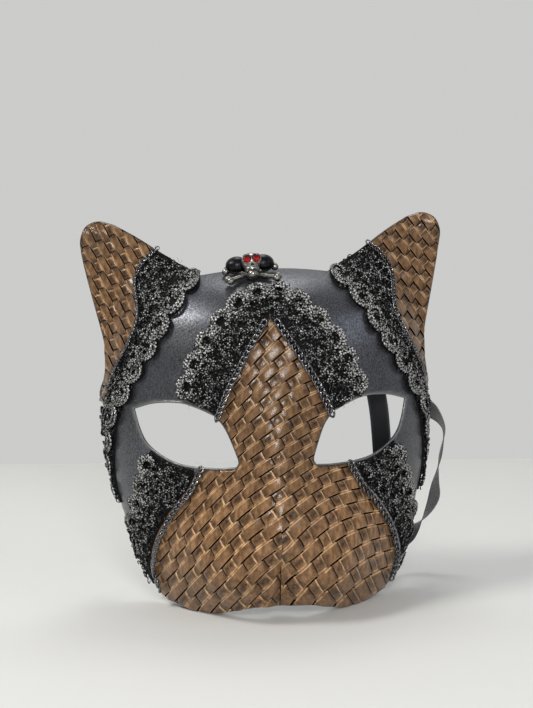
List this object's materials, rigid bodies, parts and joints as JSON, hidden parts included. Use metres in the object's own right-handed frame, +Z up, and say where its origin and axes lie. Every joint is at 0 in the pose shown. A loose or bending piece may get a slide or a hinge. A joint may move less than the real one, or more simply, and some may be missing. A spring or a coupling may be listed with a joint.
{
  "type": "cat half-mask",
  "caption": "Masquerade cat half-mask: moulded black shell faced with woven leather, lace and chain, a skull charm on the brow and a satin tie ribbon.",
  "frame": {"origin": "on the middle plane at eye height, in the plane of the temple rims, where the wearer's face fills the mask", "axes": "+X to the viewer's right, +Y from the mask's front towards the wearer, +Z up"},
  "size_m": [0.1808, 0.0964, 0.182],
  "materials": {
    "black_shell": "black with a silver dry-brushed sheen",
    "brown_leather": "embossed woven pattern, polished",
    "black_lace": "looped yarn with silver thread",
    "gunmetal": "dark plated",
    "pewter": "antiqued casting",
    "red_stone": "faceted, clear",
    "black_satin": "satin weave"
  },
  "bodies": {
    "root": {"mask_shell": "black_shell", "face_leather_panel": "brown_leather", "ear_leather_left": "brown_leather", "ear_leather_right": "brown_leather", "forehead_lace_left": "black_lace", "forehead_lace_right": "black_lace", "ear_lace_left": "black_lace", "ear_lace_right": "black_lace", "cheek_lace_left": "black_lace", "cheek_lace_right": "black_lace", "forehead_chain_left": "gunmetal", "forehead_chain_right": "gunmetal", "cheek_chain_left": "gunmetal", "cheek_chain_right": "gunmetal", "ear_chain_left": "gunmetal", "ear_chain_right": "gunmetal", "charm_casting": "pewter", "charm_gem_left": "red_stone", "charm_gem_right": "red_stone", "tie_patch_left": "black_satin", "tie_patch_right": "black_satin", "tie_ribbon": "black_satin"}
  },
  "joints": []
}
